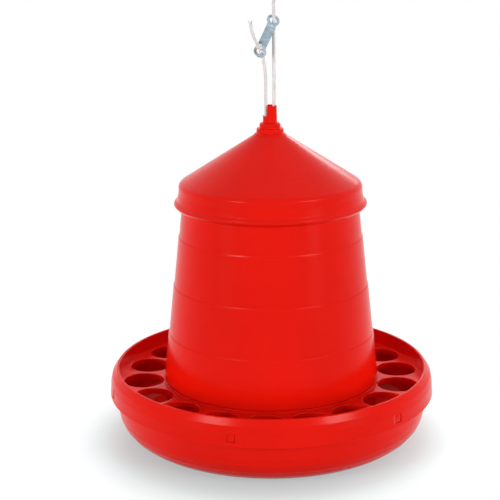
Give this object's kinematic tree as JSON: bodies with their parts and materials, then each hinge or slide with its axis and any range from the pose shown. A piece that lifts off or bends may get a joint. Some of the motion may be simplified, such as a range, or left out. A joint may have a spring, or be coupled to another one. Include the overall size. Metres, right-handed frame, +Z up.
{
  "type": "gravity poultry feeder",
  "caption": "Hanging gravity feeder for poultry: tapered hopper with a conical lid over a round pan, with a grille of head holes and a rope hanger.",
  "frame": {"origin": "middle of the pan's flat foot, on the surface it stands on", "axes": "+Z up the hopper's axis, -Y the front, +X right seen from the front"},
  "size_m": [0.4006, 0.4006, 0.6105],
  "materials": {
    "red_plastic": "glossy moulded polypropylene",
    "nut_plastic": "satin moulded nylon",
    "zinc_steel": "bright zinc plated",
    "rope": "white braided polyester"
  },
  "bodies": {
    "root": {"feed_pan": "red_plastic", "feed_grille": "red_plastic", "hanger_rod": "zinc_steel", "rod_lock_nut": "zinc_steel", "pan_washer": "zinc_steel", "pan_nut": "zinc_steel", "rope_main": "rope", "hanging_loop": "rope", "loop_knot": "rope", "rope_return": "rope"},
    "hopper": {"hopper": "red_plastic", "hopper_spider": "red_plastic", "spider_screws": "zinc_steel", "adjusting_washer": "zinc_steel"},
    "adjusting_nut": {"adjusting_nut": "nut_plastic"},
    "lid": {"lid": "red_plastic"},
    "tensioner": {"rope_tensioner": "zinc_steel", "end_knot": "rope", "rope_tail": "rope"}
  },
  "joints": [
    {"name": "feed_gap", "type": "slide", "parent": "root", "child": "hopper", "axis": [0, 0, 1], "range_m": [0, 0.02]},
    {"name": "nut_turn", "type": "hinge", "parent": "hopper", "child": "adjusting_nut", "pos_m": [0, 0, 0.072], "axis": [0, 0, 1], "range_deg": [0, 1440]},
    {"name": "lid_lift", "type": "slide", "parent": "hopper", "child": "lid", "axis": [0, 0, 1], "range_m": [0, 0.034]},
    {"name": "tensioner_slide", "type": "slide", "parent": "root", "child": "tensioner", "axis": [0, 0, 1], "range_m": [0, 0.035], "deforming": ["rope_return"]}
  ],
  "couplings": [
    {"joint": "nut_turn", "follows": "feed_gap", "rad_per_m": 1256.6}
  ]
}
